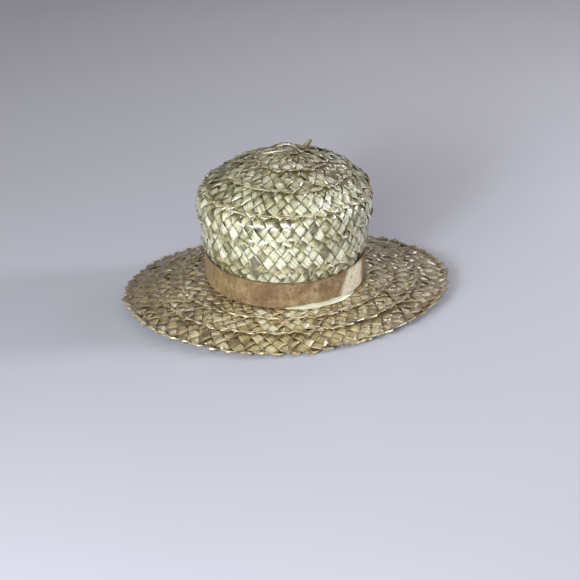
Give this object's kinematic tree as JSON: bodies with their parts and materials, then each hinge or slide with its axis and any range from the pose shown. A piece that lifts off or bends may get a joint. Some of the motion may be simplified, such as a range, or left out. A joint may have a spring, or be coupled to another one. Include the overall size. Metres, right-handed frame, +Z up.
{
  "type": "straw hat",
  "caption": "Straw hat with a rounded, straight-sided crown, a sloping brim and a ribbon band, sewn from plaited straw braid.",
  "frame": {"origin": "on the surface that the brim rests on, under the middle of the hat", "axes": "+Z up through the crown, -Y towards the front of the hat, +X across the front from left to right"},
  "size_m": [0.3453, 0.3432, 0.1677],
  "materials": {
    "straw_crown": "glossy plaited straw, pale cream",
    "straw_brim": "glossy plaited straw, khaki gold",
    "ribbon": "worn tan velvet",
    "straw_end": "loose straw strip"
  },
  "bodies": {
    "root": {"crown": "straw_crown", "brim": "straw_brim", "band": "ribbon", "top_loop": "straw_end", "top_curl": "straw_end", "top_stub": "straw_end"}
  },
  "joints": []
}
